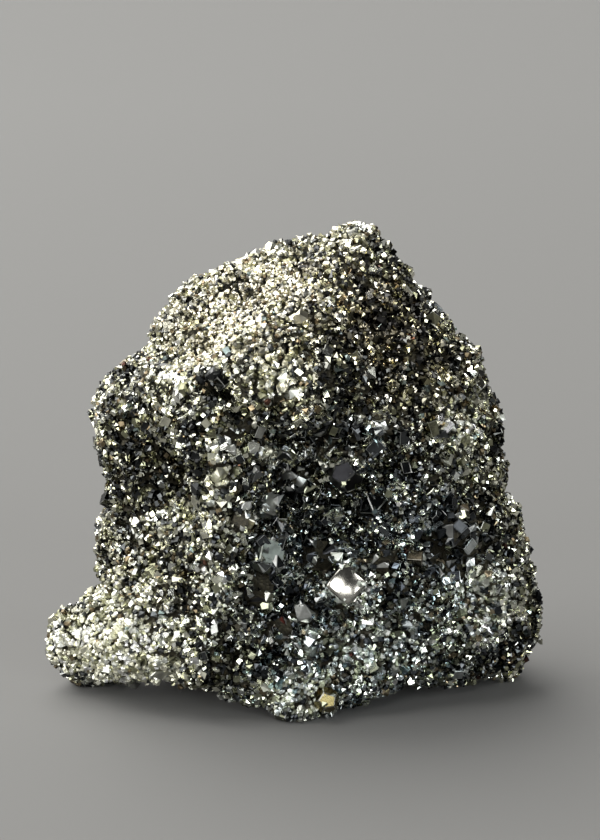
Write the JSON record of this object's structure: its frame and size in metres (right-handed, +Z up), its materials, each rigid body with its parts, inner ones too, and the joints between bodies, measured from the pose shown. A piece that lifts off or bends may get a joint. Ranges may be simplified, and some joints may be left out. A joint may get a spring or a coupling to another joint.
{
  "type": "raw pyrite",
  "caption": "Rough lump of raw pyrite in a crust of tiny brassy crystals, with a slanting peak, a flared foot and a dark hollow of larger crystals; rests on small flat spots.",
  "frame": {"origin": "bottom centre of the bounding box, on the surface that the lump rests on", "axes": "+Z up; the side with the hollow faces -Y; the peak is towards +X and the flared foot towards -X"},
  "size_m": [0.0424, 0.0284, 0.0396],
  "materials": {
    "pyrite": "gloss"
  },
  "bodies": {
    "root": {"pyrite": "pyrite"}
  },
  "joints": []
}
